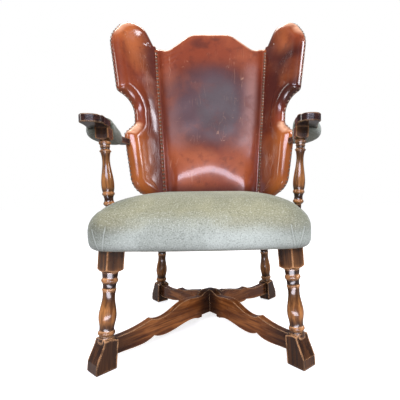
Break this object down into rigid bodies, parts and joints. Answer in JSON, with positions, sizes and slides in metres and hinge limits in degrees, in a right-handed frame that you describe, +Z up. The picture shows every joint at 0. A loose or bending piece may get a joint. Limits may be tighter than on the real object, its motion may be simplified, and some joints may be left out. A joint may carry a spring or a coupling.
{
  "type": "wingback chair",
  "caption": "Antique wingback armchair with leather back and wings, velvet seat, open padded arms, turned legs and a crossing stretcher.",
  "frame": {"origin": "on the floor, under the middle of the chair's box", "axes": "+Z up, +Y from the seat's front to the outside back, +X to the right of someone who faces the chair"},
  "size_m": [0.741, 0.6819, 1.1262],
  "materials": {
    "show_wood": "old polish, worn pale on the edges",
    "frame_wood": "bare sawn",
    "velvet": "short pile",
    "leather": "aged, glossy",
    "spring_steel": "drawn wire",
    "nail_brass": "antique, worn bright on the crown",
    "black_cloth": "matt",
    "stuffing": "hair and wadding",
    "hessian": "plain weave"
  },
  "bodies": {
    "root": {"arm_dowel_left": "show_wood", "arm_dowel_right": "show_wood", "arm_left": "show_wood", "arm_pad_left": "velvet", "arm_pad_right": "velvet", "arm_post_left": "show_wood", "arm_post_right": "show_wood", "arm_right": "show_wood", "back_hessian": "hessian", "back_leather": "leather", "back_padding": "stuffing", "back_post_left": "frame_wood", "back_post_right": "frame_wood", "back_webbing": "hessian", "corner_block_front_left": "frame_wood", "corner_block_front_right": "frame_wood", "corner_block_rear_left": "frame_wood", "corner_block_rear_right": "frame_wood", "corner_block_screws": "spring_steel", "crest_rail": "frame_wood", "dust_cover": "black_cloth", "front_leg_left": "show_wood", "front_leg_right": "show_wood", "lower_back_rail": "frame_wood", "outside_back_leather": "leather", "outside_wing_leather_left": "leather", "outside_wing_leather_right": "leather", "post_leather_left": "leather", "post_leather_right": "leather", "rear_leg_left": "show_wood", "rear_leg_right": "show_wood", "seam_nails_left": "nail_brass", "seam_nails_right": "nail_brass", "seam_welt_left": "leather", "seam_welt_right": "leather", "seat_cover": "velvet", "seat_hessian": "hessian", "seat_padding": "stuffing", "seat_rail_front": "frame_wood", "seat_rail_left": "frame_wood", "seat_rail_rear": "frame_wood", "seat_rail_right": "frame_wood", "seat_springs": "spring_steel", "spring_clips": "spring_steel", "stretcher_lower": "show_wood", "stretcher_upper": "show_wood", "wing_edge_nails_left": "nail_brass", "wing_edge_nails_right": "nail_brass", "wing_frame_left": "frame_wood", "wing_frame_right": "frame_wood", "wing_leather_left": "leather", "wing_leather_right": "leather", "wing_padding_left": "stuffing", "wing_padding_right": "stuffing"}
  },
  "joints": []
}
